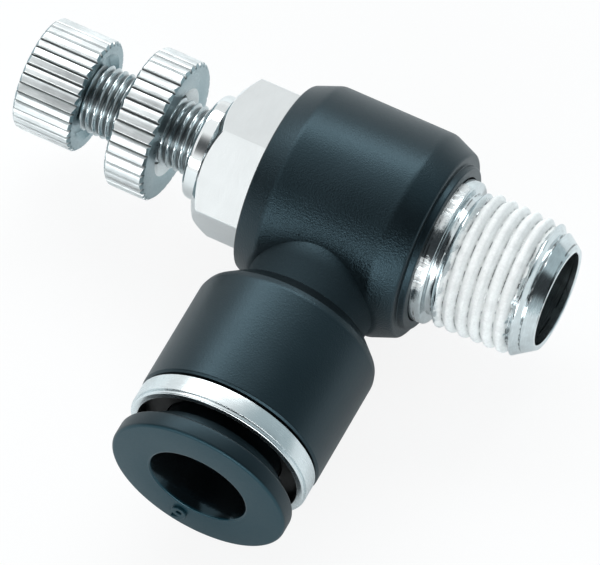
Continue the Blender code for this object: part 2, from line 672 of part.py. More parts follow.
def make_elbow_body(centre):
    foot_taper = BARREL_THREAD_SIDE - BARREL_TAPER_LENGTH
    barrel_outline = [
        (-BARREL_HEX_SIDE, UPPER_BORE_RADIUS),
        (-BARREL_HEX_SIDE, BARREL_END_RADIUS, BARREL_EDGE_ROUND),
        (BARREL_TAPER_LENGTH - BARREL_HEX_SIDE, BARREL_RADIUS, BARREL_TAPER_ROUND),
        (foot_taper, BARREL_RADIUS, BARREL_TAPER_ROUND),
        (BARREL_THREAD_SIDE, BARREL_END_RADIUS, BARREL_EDGE_ROUND),
        (BARREL_THREAD_SIDE, FOOT_LIP_RADIUS),
        (BARREL_FOOT, FOOT_LIP_RADIUS),
        (BARREL_FOOT, COLLAR_RECESS_RADIUS),
        (COLLAR_SEAT, COLLAR_RECESS_RADIUS),
        (COLLAR_SEAT, MAIN_BORE_RADIUS),
        (BORE_STEP_STATION, MAIN_BORE_RADIUS),
        (BORE_STEP_STATION, UPPER_BORE_RADIUS),
    ]
    shoulder_drop = SLEEVE_SHOULDER + SLEEVE_EDGE
    crease = SLEEVE_START + SLEEVE_SHOULDER
    root = MAIN_BORE_RADIUS + NECK_ROOT_SHARE * BARREL_WALL
    sleeve_outline = [
        (root, 0),
        (root, NECK_RADIUS),
        (SLEEVE_START, NECK_RADIUS),
        (SLEEVE_START, SLEEVE_RADIUS - shoulder_drop),
        (crease, SLEEVE_RADIUS - SLEEVE_EDGE),
        (crease + 3 * SLEEVE_EDGE, SLEEVE_RADIUS),
        (SLEEVE_END - SLEEVE_EDGE, SLEEVE_RADIUS),
        (SLEEVE_END, SLEEVE_RADIUS - SLEEVE_EDGE),
        (SLEEVE_END, GLAND_RADIUS),
        (GLAND_FLOOR, GLAND_RADIUS),
        (GLAND_FLOOR, RELEASE_BORE_RADIUS),
        (TUBE_STOP, RELEASE_BORE_RADIUS),
        (TUBE_STOP, 0),
    ]
    passage_outline = [
        (0, 0),
        (0, PASSAGE_RADIUS),
        (TUBE_STOP + OVERSHOOT, PASSAGE_RADIUS),
        (TUBE_STOP + OVERSHOOT, 0),
    ]
    body = lathe("elbow_body", barrel_outline, VALVE_AXIS, BODY_FACETS, centre, steps=2)
    sleeve = lathe("sleeve_form", sleeve_outline, PORT_AXIS, BODY_FACETS, centre)
    passage = lathe("air_passage", passage_outline, PORT_AXIS, INNER_FACETS, centre)
    combine(body, sleeve, "UNION")
    combine(body, passage, "DIFFERENCE")
    dress(body, black_plastic("elbow_body"))


def make_tube_seal(centre):
    """A rubber ring with a lip that closes on the tube."""
    outer = GUIDE_RADIUS
    lip = TUBE_RADIUS - TUBE_SEAL_SQUEEZE
    inner = lip + TUBE_SEAL_LIP
    middle = (TUBE_SEAL_START + TUBE_SEAL_END) / 2
    outline = [
        (TUBE_SEAL_START, inner),
        (TUBE_SEAL_START, outer),
        (TUBE_SEAL_END, outer),
        (TUBE_SEAL_END, inner),
        (middle + TUBE_SEAL_LIP / 2, lip),
        (middle - TUBE_SEAL_LIP / 2, lip),
    ]
    dress(lathe("tube_seal", outline, PORT_AXIS, INNER_FACETS, centre), rubber("tube_seal"))


def make_spacer_ring(centre):
    outline = [
        (SPACER_START, GUIDE_RADIUS - SPACER_WALL),
        (SPACER_START, GUIDE_RADIUS),
        (SPACER_END, GUIDE_RADIUS),
        (SPACER_END, GUIDE_RADIUS - SPACER_WALL),
    ]
    dress(lathe("spacer_ring", outline, PORT_AXIS, INNER_FACETS, centre),
          make_finish("spacer_ring_white", (0.75, 0.75, 0.72), 0.5, 0.0))


def make_grip_ring(centre):
    """A spring steel washer with slotted teeth that lean in towards the seal."""
    tooth_tip = RELEASE_BORE_RADIUS
    bend = GRIP_RIM_RADIUS - SEAT_CLEARANCE
    outline = [
        (GRIP_END, bend),
        (GRIP_END, GUIDE_RADIUS),
        (GRIP_START, GUIDE_RADIUS),
        (GRIP_START, bend),
        (GRIP_START - GRIP_TOOTH_DROP, tooth_tip),
        (GRIP_END - GRIP_TOOTH_DROP, tooth_tip),
    ]
    ring = lathe("grip_ring", outline, PORT_AXIS, 4 * GRIP_TEETH, centre)
    bm = bmesh.new()
    inner = tooth_tip - OVERSHOOT
    low = GRIP_START - GRIP_TOOTH_DROP - OVERSHOOT
    high = GRIP_END + OVERSHOOT
    for index in range(GRIP_TEETH):
        turn = math.tau * (index + 0.625) / GRIP_TEETH
        spoke = Vector((math.sin(turn), 0, math.cos(turn)))
        side = Vector((math.cos(turn), 0, -math.sin(turn))) * (GRIP_SLOT_WIDTH / 2)
        near = spoke * inner + PORT_AXIS[0] * low
        far = spoke * GRIP_RIM_RADIUS + PORT_AXIS[0] * low
        corners = (near + side, near - side, far - side, far + side)
        base = [bm.verts.new(corner) for corner in corners]
        grown = bmesh.ops.extrude_face_region(bm, geom=[bm.faces.new(base)])
        tips = [item for item in grown["geom"] if isinstance(item, bmesh.types.BMVert)]
        bmesh.ops.translate(bm, verts=tips, vec=PORT_AXIS[0] * (high - low))
    combine(ring, add_object("grip_slots", bm, centre), "DIFFERENCE")
    dress(ring, make_finish("grip_ring_steel", (0.6, 0.6, 0.6), 0.25, 1.0))


def make_guide_ring(centre):
    """The bright ring pressed into the sleeve; its skirt traps the release ring's lip."""
    bead = RING_RADIUS - RING_BEAD_DROP
    outline = [
        (GUIDE_START, UNDERCUT_RADIUS),
        (GUIDE_START, GUIDE_RADIUS),
        (RING_START, GUIDE_RADIUS),
        (RING_START, RING_RADIUS),
        (RING_END - RING_BEAD_LENGTH, RING_RADIUS),
        (RING_END - RING_BEAD_LENGTH, bead),
        (RING_END, bead),
        (RING_END, RING_RECESS_RADIUS),
        (RECESS_FLOOR, RING_RECESS_RADIUS),
        (RECESS_FLOOR, GUIDE_BORE_RADIUS),
        (UNDERCUT_END, GUIDE_BORE_RADIUS),
        (UNDERCUT_END, UNDERCUT_RADIUS),
    ]
    dress(lathe("guide_ring", outline, PORT_AXIS, METAL_FACETS, centre), nickel("guide_ring"))


def make_release_ring(centre):
    neck_start = FLANGE_START - RELEASE_NECK_STEP
    neck = (GUIDE_BORE_RADIUS + RING_RECESS_RADIUS) / 2
    outline = [
        (RELEASE_START, RELEASE_BORE_RADIUS),
        (RELEASE_START, RELEASE_SKIRT_RADIUS),
        (LIP_SHOULDER, RELEASE_LIP_RADIUS),
        (LIP_SHOULDER, RELEASE_SKIRT_RADIUS),
        (neck_start, RELEASE_SKIRT_RADIUS),
        (neck_start, neck),
        (FLANGE_START, neck),
        (FLANGE_START, FLANGE_RADIUS, FLANGE_ROUND),
        (PORT_REACH, FLANGE_RADIUS, FLANGE_ROUND),
        (PORT_REACH, RELEASE_BORE_RADIUS + MOUTH_CHAMFER),
        (PORT_REACH - MOUTH_CHAMFER, RELEASE_BORE_RADIUS),
    ]
    dress(lathe("release_ring", outline, PORT_AXIS, METAL_FACETS, centre, steps=2),
          black_plastic("release_ring"))


def main():
    clear_scene()
    centre = make_centre()
    make_stem(centre)
    make_hex_bushing(centre)
    make_needle(centre)
    make_knob(centre)
    make_lock_nut(centre)
    make_elbow_body(centre)
    make_tube_seal(centre)
    make_spacer_ring(centre)
    make_grip_ring(centre)
    make_guide_ring(centre)
    make_release_ring(centre)


main()
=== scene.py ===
import math

import bmesh
import bpy
from mathutils import Matrix, Vector, noise


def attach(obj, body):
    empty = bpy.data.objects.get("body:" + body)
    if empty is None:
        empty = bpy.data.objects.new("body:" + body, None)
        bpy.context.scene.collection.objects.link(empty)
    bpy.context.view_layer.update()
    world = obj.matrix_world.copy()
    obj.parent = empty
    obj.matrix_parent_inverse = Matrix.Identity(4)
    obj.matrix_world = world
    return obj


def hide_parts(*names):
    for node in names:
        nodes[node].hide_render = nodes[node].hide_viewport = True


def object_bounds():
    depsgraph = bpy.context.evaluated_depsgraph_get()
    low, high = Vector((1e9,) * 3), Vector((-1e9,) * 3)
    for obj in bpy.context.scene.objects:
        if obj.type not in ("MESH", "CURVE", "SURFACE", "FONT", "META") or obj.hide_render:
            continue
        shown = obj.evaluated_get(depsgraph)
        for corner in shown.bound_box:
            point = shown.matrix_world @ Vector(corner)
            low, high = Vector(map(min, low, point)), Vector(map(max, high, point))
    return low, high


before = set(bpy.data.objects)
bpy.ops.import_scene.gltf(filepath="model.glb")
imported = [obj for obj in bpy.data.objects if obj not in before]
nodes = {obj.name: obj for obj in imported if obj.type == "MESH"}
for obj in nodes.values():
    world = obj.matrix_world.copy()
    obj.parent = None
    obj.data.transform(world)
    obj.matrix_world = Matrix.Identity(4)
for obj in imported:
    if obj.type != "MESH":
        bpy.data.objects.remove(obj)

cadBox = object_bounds()
scene = bpy.context.scene
perMetre = 1000.0
crossing = Vector((-0.0145, 0, 0))  # where the port axis meets the valve axis
toMetres = Matrix.Translation(crossing) @ Matrix.Scale(1 / perMetre, 4)  # pieces are drawn in mm about it
frameShift = crossing.x * perMetre  # from a piece's mm along the valve to the frame's
valveAxis = {"along": Vector((1, 0, 0)), "spoke": Vector((0, 1, 0))}
portAxis = {"along": Vector((0, -1, 0)), "spoke": Vector((0, 0, 1))}
meshLimits = {"roundSteps": 5, "roundShare": 0.48, "merge": 1e-5, "sliver": 1e-4}


# mesh tools, all in mm until a piece is settled

def unit(value):
    return min(1, max(0, value))


def soften(corners):  # a corner with a third value is rounded to that radius
    line = []
    steps = meshLimits["roundSteps"]
    for i, corner in enumerate(corners):
        here = Vector(corner[:2])
        if len(corner) < 3:
            line.append(here)
            continue
        back = Vector(corners[i - 1][:2]) - here
        ahead = Vector(corners[(i + 1) % len(corners)][:2]) - here
        half = back.angle(ahead) / 2
        reach = min(corner[2] / math.tan(half), meshLimits["roundShare"] * min(back.length, ahead.length))
        middle = here + (back.normalized() + ahead.normalized()).normalized() * (reach / math.cos(half))
        start = here + back.normalized() * reach - middle
        end = here + ahead.normalized() * reach - middle
        first = math.atan2(start.y, start.x)
        turn = (math.atan2(end.y, end.x) - first + math.pi) % math.tau - math.pi
        for step in range(steps + 1):
            angle = first + turn * step / steps
            line.append(middle + start.length * Vector((math.cos(angle), math.sin(angle))))
    return line


def evenly(count):
    return [math.tau * i / count for i in range(count)]


def newObject(name, bm):
    mesh = bpy.data.meshes.new(name)
    bm.to_mesh(mesh)
    bm.free()
    obj = bpy.data.objects.new(name, mesh)
    scene.collection.objects.link(obj)
    return obj


def spun(name, outlineAt, angles, axis):  # a closed outline that may change as it goes round
    bm = bmesh.new()
    side = axis["along"].cross(axis["spoke"])
    rows = []
    for angle in angles:
        spoke = axis["spoke"] * math.cos(angle) + side * math.sin(angle)
        rows.append([(bm.verts.new(axis["along"] * p[0] + spoke * p[1]), p[1]) for p in outlineAt(angle)])
    for i, near in enumerate(rows):
        far = rows[(i + 1) % len(rows)]
        for k in range(len(near)):
            n = (k + 1) % len(near)
            if near[k][1] > 0 or near[n][1] > 0:  # no face along the axis itself
                bm.faces.new((near[k][0], far[k][0], far[n][0], near[n][0]))
    bmesh.ops.remove_doubles(bm, verts=bm.verts, dist=meshLimits["merge"])
    bmesh.ops.recalc_face_normals(bm, faces=bm.faces)
    return newObject(name, bm)


def turned(name, corners, count, axis):
    line = soften(corners)
    return spun(name, lambda angle: line, evenly(count), axis)


def carve(obj, tool, operation="DIFFERENCE"):
    change = obj.modifiers.new("carve", "BOOLEAN")
    change.operation = operation
    change.solver = "EXACT"
    change.object = tool
    made = bpy.data.meshes.new_from_object(obj.evaluated_get(bpy.context.evaluated_depsgraph_get()))
    obj.modifiers.clear()
    bm = bmesh.new()
    bm.from_mesh(made)
    bmesh.ops.triangulate(bm, faces=[f for f in bm.faces if len(f.verts) > 4], ngon_method="BEAUTY")
    bmesh.ops.dissolve_degenerate(bm, edges=bm.edges, dist=meshLimits["sliver"])
    bm.to_mesh(made)
    bm.free()
    obj.data = made
    bpy.data.objects.remove(tool)


def settle(obj, body, node, finish, sharp):  # from mm to the frame, onto its body
    obj.data.transform(toMetres)
    obj.data.shade_smooth()
    obj.data.set_sharp_from_angle(angle=math.radians(sharp))
    obj.data.materials.clear()
    obj.data.materials.append(finish)
    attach(obj, body)
    if node:
        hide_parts(node)
    print("piece", obj.name, "faces", len(obj.data.polygons))
    return obj


# shader sums: a Wire is one socket, and sums on it become nodes

class Wire:
    def __init__(self, tree, socket=None):
        self.tree = tree
        self.socket = socket

    def add(self, kind, settings=None, inputs=None, out=0):
        node = self.tree.nodes.new(kind)
        for key, value in (settings or {}).items():
            setattr(node, key, value)
        for key, value in (inputs or {}).items():
            if isinstance(value, Wire):
                self.tree.links.new(value.socket, node.inputs[key])
            else:
                node.inputs[key].default_value = value
        return Wire(self.tree, node.outputs[out] if node.outputs else None)

    def sum(self, operation, first, second=None):
        inputs = {0: first} if second is None else {0: first, 1: second}
        return self.add("ShaderNodeMath", {"operation": operation}, inputs)

    def __add__(self, other):
        return self.sum("ADD", self, other)

    def __radd__(self, other):
        return self.sum("ADD", other, self)

    def __sub__(self, other):
        return self.sum("SUBTRACT", self, other)

    def __rsub__(self, other):
        return self.sum("SUBTRACT", other, self)

    def __mul__(self, other):
        return self.sum("MULTIPLY", self, other)

    def __rmul__(self, other):
        return self.sum("MULTIPLY", other, self)

    def __truediv__(self, other):
        return self.sum("DIVIDE", self, other)

    def __rtruediv__(self, other):
        return self.sum("DIVIDE", other, self)

    def __abs__(self):
        return self.sum("ABSOLUTE", self)

    def span(self, low, high):  # 0 at low, 1 at high, smooth between
        return self.add("ShaderNodeMapRange", {"interpolation_type": "SMOOTHSTEP"},
                        {"Value": self, "From Min": low, "From Max": high})

    def blend(self, first, second):  # two colours by this value
        def colour(value):
            return value if isinstance(value, Wire) else (*value, 1)
        return self.add("ShaderNodeMix", {"data_type": "RGBA"},
                        {0: self, 6: colour(first), 7: colour(second)}, 2)


def startFinish(name):
    finish = bpy.data.materials.new(name)
    finish.use_nodes = True
    shader = finish.node_tree.nodes["Principled BSDF"]
    pen = Wire(finish.node_tree)
    place = pen.add("ShaderNodeTexCoord", out="Object")
    place = pen.add("ShaderNodeVectorMath", {"operation": "SCALE"}, {0: place, "Scale": perMetre})  # in mm
    return finish, shader, pen, place


def feed(shader, **values):
    names = {"colour": "Base Color", "rough": "Roughness", "metal": "Metallic", "normal": "Normal"}
    for key, value in values.items():
        socket = shader.inputs[names[key]]
        if isinstance(value, Wire):
            value.tree.links.new(value.socket, socket)
        else:
            socket.default_value = value


def grain(pen, place, size, detail=3.0, stretch=None):
    if stretch:
        place = pen.add("ShaderNodeMapping", inputs={"Vector": place, "Scale": stretch})
    return pen.add("ShaderNodeTexNoise", inputs={"Vector": place, "Scale": 1 / size, "Detail": detail})


def relief(pen, height, distance):
    return pen.add("ShaderNodeBump", inputs={"Height": height, "Distance": distance / perMetre})


def split(pen, place):
    return [pen.add("ShaderNodeSeparateXYZ", inputs={0: place}, out=i) for i in range(3)]


def reachFrom(pen, across, z):  # distance from an axis, in mm
    return pen.sum("SQRT", across * across + z * z)


def dim(colour, share):
    return tuple(share * c for c in colour)


# finishes: a key that ends in Along is in mm along the port's axis, one that ends in Reach is off an axis

mouldingLook = {"cloudSize": 3.5, "cloudSpan": (0.35, 0.7), "cloudRough": 0.08, "skinRough": 0.14,
                "poreScale": 0.6, "poreSmooth": 0.5, "skinRelief": 0.7, "poreRelief": 0.5,
                "sleeveGrain": 0.3, "sleeveAlong": (-9.4, -7.0),  # the sleeve is smoother than the barrel
                "calmShare": 0.65, "calmAlong": (-5.0, -1.0),  # the barrel is roughest on the sleeve's side
                "neckReach": (4.5, 4.9), "neckFromAlong": (-9.6, -9.0), "neckToAlong": (-7.2, -5.6),
                "neckDull": 0.34,
                "mouthReach": (3.56, 3.66), "mouthAlong": (-20.5, -20.0), "mouthShine": 0.28,
                "faceAlong": (-23.1, -22.95)}


def blackMoulding(name, k):
    m = mouldingLook
    finish, shader, pen, place = startFinish(name)
    x, along, z = split(pen, place)
    reach = reachFrom(pen, x - frameShift, z)
    cloud = grain(pen, place, m["cloudSize"], 2.0)
    skin = grain(pen, place, k["grainSize"])
    pores = pen.add("ShaderNodeTexVoronoi", {"feature": "SMOOTH_F1"},
                    {"Vector": place, "Scale": m["poreScale"] / k["grainSize"],
                     "Smoothness": m["poreSmooth"]})
    coarse = m["sleeveGrain"] + (1 - m["sleeveGrain"]) * along.span(*m["sleeveAlong"])
    coarse = coarse * (1 - m["calmShare"] * along.span(*m["calmAlong"]))
    neck = along.span(*m["neckFromAlong"]) * (1 - along.span(*m["neckToAlong"]))
    neck = neck * (1 - reach.span(*m["neckReach"]))
    mouth = (1 - reach.span(*m["mouthReach"])) * (1 - along.span(*m["mouthAlong"]))
    colour = cloud.span(*m["cloudSpan"]).blend(k["dark"], k["light"])
    if "faceColour" in k:  # the end face is coloured a little paler
        colour = (1 - along.span(*m["faceAlong"])).blend(colour, k["faceColour"])
    rough = k["rough"] + m["cloudRough"] * (cloud - 0.5) + m["skinRough"] * (skin - 0.5)
    rough = rough + m["neckDull"] * neck - m["mouthShine"] * mouth
    height = (skin * m["skinRelief"] + pores * m["poreRelief"]) * coarse
    feed(shader, colour=colour, rough=rough, normal=relief(pen, height, k["grainDepth"]))
    shader.inputs["Specular IOR Level"].default_value = k["gloss"]
    shader.inputs["Specular Tint"].default_value = (*k["sheen"], 1)
    return finish


nickelLook = {"cloudSize": 1.6, "cloudShare": 0.6, "wornSpan": (0.3, 0.72), "roughSwing": 0.35,
              "cloudMiddle": 0.45, "lineMiddle": 0.5,
              "dirtAndShade": (0.02, 0.026, 0.028), "dirtAndShadeRough": 0.3, "dirtAndShadeLeast": 0.6, "dirtAndShadeSwing": 0.8,
              "dirtAndShadeMiddle": 0.25, "dirtAndShadeTop": 0.35, "dirtAndShadeFloor": 1.25,  # shares of a groove's depth
              "faceSpan": (0.55, 0.66), "faceEdge": 0.05, "faceSwing": 0.4, "faceMiddle": 0.6,
              "faceShine": 0.14, "coreEdge": 0.02, "coreDull": 0.25}


def brightNickel(name, k, grooves=None, core=None):
    m = nickelLook
    finish, shader, pen, place = startFinish(name)
    x, y, z = split(pen, place)
    cloud = grain(pen, place, m["cloudSize"])
    lines = grain(pen, place, k["lineSize"], 2.0, k["stretch"])
    worn = (cloud * m["cloudShare"] + lines * (1 - m["cloudShare"])).span(*m["wornSpan"])
    colour = worn.blend(dim(k["tint"], 1 - k["wear"]), k["tint"])
    swing = m["roughSwing"] * (cloud - m["cloudMiddle"]) + m["roughSwing"] * (lines - m["lineMiddle"])
    rough = k["rough"] * (1 + swing)
    metal = 1.0
    if grooves:  # the bottoms of knurls and threads are darkened, dirt together with painted shade
        reach = reachFrom(pen, y, z)
        top, depth = grooves["top"], grooves["depth"]
        low = 1 - reach.span(top - depth, top - m["dirtAndShadeTop"] * depth)
        inside = pen.sum("GREATER_THAN", x, grooves["from"]) * pen.sum("LESS_THAN", x, grooves["to"])
        inside = inside * pen.sum("GREATER_THAN", reach, top - m["dirtAndShadeFloor"] * depth)
        patchy = m["dirtAndShadeLeast"] + m["dirtAndShadeSwing"] * (cloud - m["dirtAndShadeMiddle"])
        dirtAndShade = low * inside * grooves["dirtAndShade"] * patchy
        colour = dirtAndShade.blend(colour, m["dirtAndShade"])
        rough = rough + m["dirtAndShadeRough"] * dirtAndShade
        if "faceShadeTint" in k:  # painted shade: the turned end faces get a darker tint for the shaded floor they reflect, and a little less roughness
            facing = pen.add("ShaderNodeSeparateXYZ",
                             inputs={0: pen.add("ShaderNodeTexCoord", out="Normal")})
            shadedFace = abs(facing).span(*m["faceSpan"])
            shadedFace = shadedFace * reach.span(k["faceShadeFrom"], k["faceShadeFrom"] + m["faceEdge"])
            streakedShade = shadedFace * (1 + m["faceSwing"] * (lines - m["faceMiddle"]))
            colour = streakedShade.blend(colour, k["faceShadeTint"])
            rough = rough - m["faceShine"] * shadedFace
    if core:  # inside the given radius the ring is coloured dark and is not metal
        reach = reachFrom(pen, x - frameShift, z)
        metal = reach.span(core["radius"] - m["coreEdge"], core["radius"] + m["coreEdge"])
        colour = metal.blend(core["colour"], colour)
        rough = rough + (1 - metal) * m["coreDull"]
    feed(shader, colour=colour, metal=metal, rough=rough, normal=relief(pen, lines, k["lineDepth"]))
    return finish


def grooveBand(top, start, end, k):  # where the groove darkening (dirt and painted shade) may lie, in the frame's mm
    return {"top": top, "depth": k["depth"], "from": start + frameShift, "to": end + frameShift,
            "dirtAndShade": k["dirtAndShade"]}


pasteLook = {"wobbleSize": 0.7, "fineSize": 0.14, "lineSize": 0.05, "lineStretch": (1, 0.05, 0.05),
             "ragged": 0.9, "edge": 0.12, "boreReach": (3.45, 3.6),
             "streakSize": 0.1, "streakStretch": (0.08, 1, 1), "streakSpan": (0.3, 0.55),
             "smearHighlightFrom": (5.6, 5.8), "smearHighlightTo": (6.6, 6.8), "smearHighlightRagged": 1.2, "smearHighlightCover": 0.9,
             "smearHighlightEdge": 6, "smearHighlightWobble": 14, "smearHighlightStreak": 16,  # degrees
             "crackSpan": (0.02, 0.08), "crackSize": 0.6, "crackDetail": 5.0, "crackNoise": (0.4, 0.55),
             "crackBare": 0.75, "crackTint": 0.25,
             "skinSpan": (0.3, 0.7), "skinDim": 0.82, "valleySpan": (0.02, 0.22), "valleyShare": 0.7,
             "valleyDim": 0.5, "metalCloud": 0.6, "metalDim": 0.8,
             "dull": 0.45, "roughSwing": 0.12, "lineRelief": 0.25, "relief": 0.015}


def sealedThread(name, k):
    m = pasteLook
    finish, shader, pen, place = startFinish(name)
    x, y, z = split(pen, place)
    x = x - frameShift
    reach = reachFrom(pen, y, z)
    wobble = grain(pen, place, m["wobbleSize"])
    fine = grain(pen, place, m["fineSize"])
    lines = grain(pen, place, m["lineSize"], 2.0, m["lineStretch"])
    streaks = grain(pen, place, m["streakSize"], 2.0, m["streakStretch"])
    turn = pen.sum("ARCTAN2", z, y) / math.tau
    offCrest = abs(pen.sum("FRACT", (x - k["start"]) / k["pitch"] - turn) - 0.5)  # 0.5 on a crest
    ragged = x + m["ragged"] * (wobble - 0.5)
    coat = ragged.span(k["pasteFrom"] - m["edge"], k["pasteFrom"] + m["edge"])
    coat = coat * (1 - ragged.span(k["pasteTo"] - m["edge"], k["pasteTo"] + m["edge"]))
    # white paste smears on the collar, set where it catches the lamps, so they are paste and painted
    # highlight together
    smearHighlight = x.span(*m["smearHighlightFrom"]) * streaks.span(*m["streakSpan"])
    smearHighlight = smearHighlight * (1 - (x + m["smearHighlightRagged"] * (streaks - 0.5)).span(*m["smearHighlightTo"]))
    degrees = turn * 360 + m["smearHighlightWobble"] * (wobble - 0.5) + m["smearHighlightStreak"] * (streaks - 0.5)
    smearHighlightPatches = [degrees.span(low, low + m["smearHighlightEdge"]) * (1 - degrees.span(high - m["smearHighlightEdge"], high))
               for low, high in k["smearHighlightAngles"]]
    coat = pen.sum("MAXIMUM", coat, smearHighlight * sum(smearHighlightPatches) * m["smearHighlightCover"])
    coat = coat * reach.span(*m["boreReach"])  # nothing in the bore
    gaps = grain(pen, place, m["crackSize"], m["crackDetail"]).span(*m["crackNoise"])
    crack = (1 - offCrest.span(*m["crackSpan"])) * gaps  # the paste misses parts of the groove
    cover = coat * (1 - m["crackBare"] * crack)
    skin = (fine * 0.5 + wobble * 0.5).span(*m["skinSpan"]).blend(dim(k["paste"], m["skinDim"]), k["paste"])
    shaded = m["valleyShare"] - m["valleyShare"] * offCrest.span(*m["valleySpan"])
    paste = shaded.blend(skin, dim(k["paste"], m["valleyDim"]))
    worn = (wobble * m["metalCloud"] + lines * (1 - m["metalCloud"])).span(*m["skinSpan"])
    bare = worn.blend(dim(k["tint"], m["metalDim"]), k["tint"])
    bare = crack.blend(bare, dim(k["tint"], m["crackTint"]))
    feed(shader, colour=cover.blend(bare, paste), metal=1 - cover,
         rough=cover * m["dull"] + k["rough"] + m["roughSwing"] * (wobble - 0.5),
         normal=relief(pen, lines * m["lineRelief"] * (1 - cover) + fine * cover, m["relief"]))
    return finish


def mottled(name, k):  # rubber and the pale inner ring
    finish, shader, pen, place = startFinish(name)
    bloom = grain(pen, place, k["size"])
    feed(shader, colour=bloom.span(*k["span"]).blend(k["dark"], k["light"]),
         rough=k["rough"] + k["swing"] * (bloom - 0.5), normal=relief(pen, bloom, k["depth"]))
    return finish


print("tools ready")


# knurled pieces

knurl = {"flat": 0.3, "edge": 0.34, "root": 0.48,  # shares of a ridge's pitch, from its middle
         "edgeDrop": 0.06, "seed": (7.37, 1.3, 0.7), "leastRise": 0.02, "nick": 0.03, "lip": 0.04,
         "land": 0.06, "settle": 0.01, "ring": 0.25, "sharp": 28}
# dirt darkens the knurl grooves: dirt and painted shade together
knurlFinish = {"tint": (0.9, 0.935, 0.94), "wear": 0.25, "faceShadeTint": (0.27, 0.36, 0.39), "rough": 0.44,
               "lineSize": 0.09, "lineDepth": 0.004, "stretch": (0.12, 1, 1), "dirtAndShade": 0.97}


def knurlAngles(ridges):
    flat, edge, root = knurl["flat"], knurl["edge"], knurl["root"]
    marks = (-edge, -flat, 0, flat, edge, root, 1 - root)
    return [math.tau * (i + m) / ridges for i in range(ridges) for m in marks]


def knurlDrop(angle, k):  # how far the surface lies under the ridge tops
    flat, edge, root = knurl["flat"], knurl["edge"], knurl["root"]
    whole = angle * k["ridges"] / math.tau
    ridge = round(whole)
    part = whole - ridge
    step, second, third = knurl["seed"]
    tilt = k["lean"] * noise.noise((step * (ridge % k["ridges"]), second, third))  # no ridge is straight
    top = abs(tilt) + tilt * part / edge
    if abs(part) < (flat + edge) / 2:
        return top
    if abs(part) < (edge + root) / 2:
        return top + knurl["edgeDrop"] * k["depth"]
    return k["depth"]


def knurlRim(angle, k):  # from the back face over the ridges to the front face
    back, face = k["back"], k["face"]
    top = k["radius"] - knurlDrop(angle, k)
    edge = min(k["radius"] - k["chamfer"], top)
    rise = max(top - edge, knurl["leastRise"])
    rim = [(back, edge - knurl["ring"]), (back, edge - knurl["lip"]), (back + knurl["nick"], edge),
           (back + rise, top - knurl["settle"]), (back + rise + knurl["land"], top),
           (face - rise - knurl["land"], top), (face - rise, top - knurl["settle"]),
           (face - knurl["nick"], edge), (face, edge - knurl["lip"])]
    return rim, edge


# faceShadeFrom is where the painted shade on an end face begins; on the knob it covers the whole face with
# its dish
knobLook = {"radius": 4.0, "back": -24.0, "face": -19.65, "ridges": 36, "depth": 0.29, "lean": 0.15,
            "chamfer": 0.2, "faceShadeFrom": 0.0, "dish": 3.15, "dishFloor": -20.1, "bore": 1.7,
            "boreEnd": -23.0, "dishRing": 0.3, "dishSlope": 0.31, "dishLip": 0.02, "dishRound": 0.04,
            **knurlFinish}


def makeKnob(k):
    face, dish, floor = k["face"], k["dish"], k["dishFloor"]
    foot = dish - k["dishLip"] - k["dishSlope"]

    def outline(angle):
        rim, edge = knurlRim(angle, k)
        return [(k["back"], 0), (k["back"], edge / 2), *rim,
                (face, dish + k["dishRing"]), (face, dish + knurl["nick"]),
                (face - knurl["nick"], dish - k["dishLip"]), (floor + knurl["nick"], foot),
                (floor, foot - k["dishRound"]), (floor, k["bore"]), (k["boreEnd"], k["bore"]),
                (k["boreEnd"], 0)]
    obj = spun("knurledKnob", outline, knurlAngles(k["ridges"]), valveAxis)
    grooves = grooveBand(k["radius"], k["back"] + knurl["leastRise"], face - knurl["leastRise"], k)
    return settle(obj, "needle", "knob", brightNickel("knobNickel", k, grooves), knurl["sharp"])


nutLook = {"radius": 5.0, "back": -16.6, "face": -13.65, "ridges": 38, "depth": 0.32, "lean": 0.16,
           "chamfer": 0.2, "faceShadeFrom": 3.15, "dish": 3.15, "dishDepth": 0.5, "dishLip": 0.02,
           "dishRound": 0.04, "bore": 2.5, **knurlFinish}


def makeLockNut(k):
    back, face = k["back"], k["face"]
    lip, inner = k["dish"] + k["dishLip"], k["dish"] - k["dishRound"]

    def outline(angle):
        rim, edge = knurlRim(angle, k)
        return [(back + k["dishDepth"], k["bore"]), (back + knurl["nick"], inner), (back, lip), *rim,
                (face, edge - knurl["ring"]), (face, lip), (face - knurl["nick"], inner),
                (face - k["dishDepth"], k["bore"])]
    obj = spun("knurledLockNut", outline, knurlAngles(k["ridges"]), valveAxis)
    grooves = grooveBand(k["radius"], back + knurl["leastRise"], face - knurl["leastRise"], k)
    return settle(obj, "lock_nut", "lock_nut", brightNickel("nutNickel", k, grooves), knurl["sharp"])


makeKnob(knobLook)
makeLockNut(nutLook)


# needle with its fine thread

# the needle's tint is darker than the other nickel parts, a painted shade for its place between knob and
# nut
needleLook = {"thread": 2.4, "pitch": 0.5, "depth": 0.27, "from": -20.0, "to": -7.6, "around": 64,
              "perTurn": 10, "rootFlat": 0.12, "flank": 0.72, "runOut": 0.35, "runOutDrop": 0.22,
              "shankEnd": -22.9, "shank": 1.6, "shankBreak": 0.1, "neck": 2.0,
              "landFrom": -7.0, "landTo": -4.9, "land": 2.75, "landBreak": 0.05,
              "sealFrom": -6.5, "sealTo": -5.4, "sealRoot": 2.09,
              "stalk": 1.4, "taperFrom": -1.5, "tipEnd": 1.0, "tip": 0.5, "sharp": 30,
              "tint": (0.60, 0.66, 0.68), "wear": 0.2, "rough": 0.16, "lineSize": 0.06,
              "lineDepth": 0.002, "stretch": (1, 0.1, 0.1), "dirtAndShade": 0.85}


